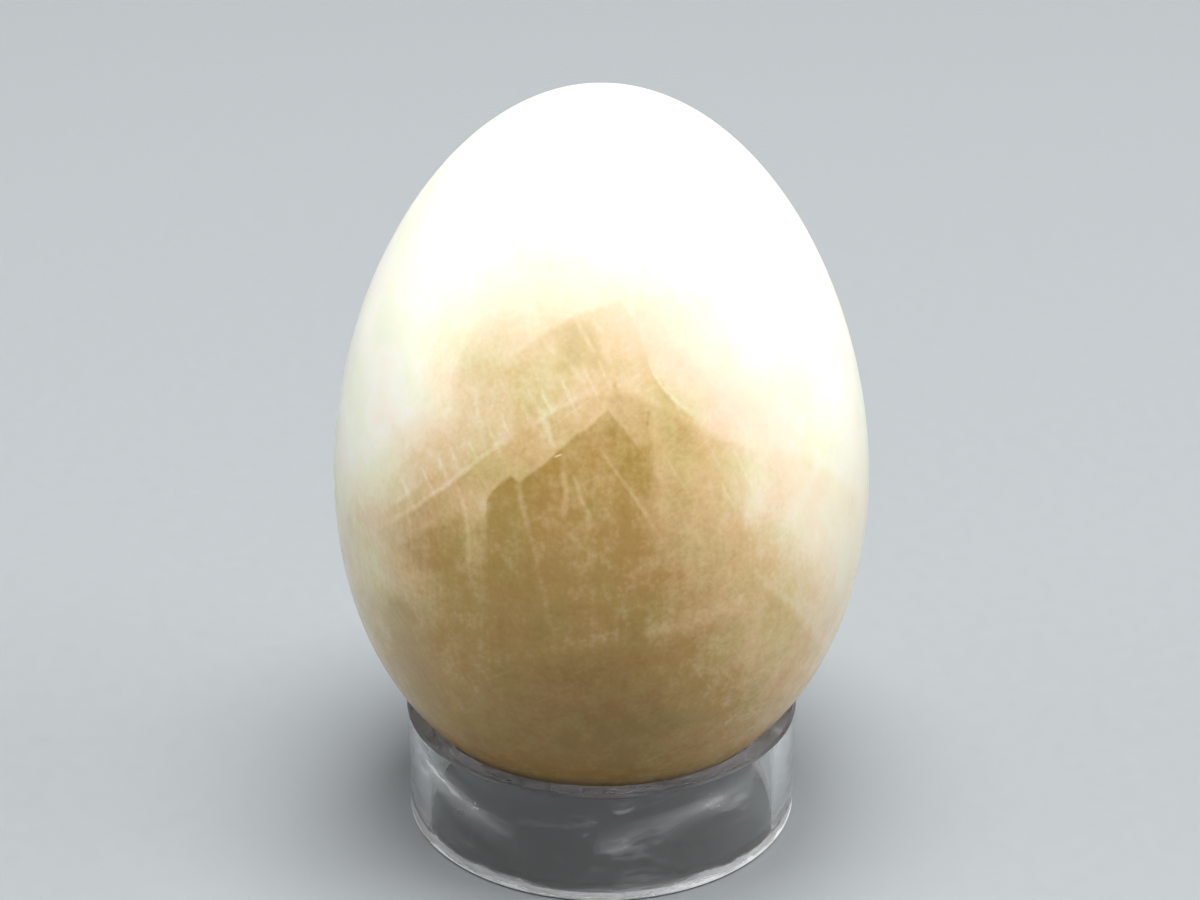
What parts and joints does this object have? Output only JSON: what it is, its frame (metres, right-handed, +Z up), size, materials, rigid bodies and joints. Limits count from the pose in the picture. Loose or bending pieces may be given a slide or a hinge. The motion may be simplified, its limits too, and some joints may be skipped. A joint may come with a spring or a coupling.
{
  "type": "stone egg on ring stand",
  "caption": "Polished stone egg standing blunt end down on a short ring of clear acrylic tube; the loose egg lifts straight off its ring.",
  "frame": {"origin": "centre of the ring's underside, on the surface that the object stands on", "axes": "+Z up along the common axis of the ring and the egg, from the egg's blunt end to its narrow end"},
  "size_m": [0.0416, 0.0416, 0.0598],
  "materials": {
    "clear_acrylic": "clear cast acrylic tube, polished wall, sawn and bevelled ends",
    "polished_stone": "cream and honey feldspar with milky cleavage veils, tumbled to a high polish"
  },
  "bodies": {
    "stand": {"ring_stand": "clear_acrylic"},
    "egg": {"stone_egg": "polished_stone"}
  },
  "joints": [
    {"name": "egg_lift", "type": "slide", "parent": "stand", "child": "egg", "axis": [0, 0, 1], "range_m": [0, 0.02]}
  ]
}
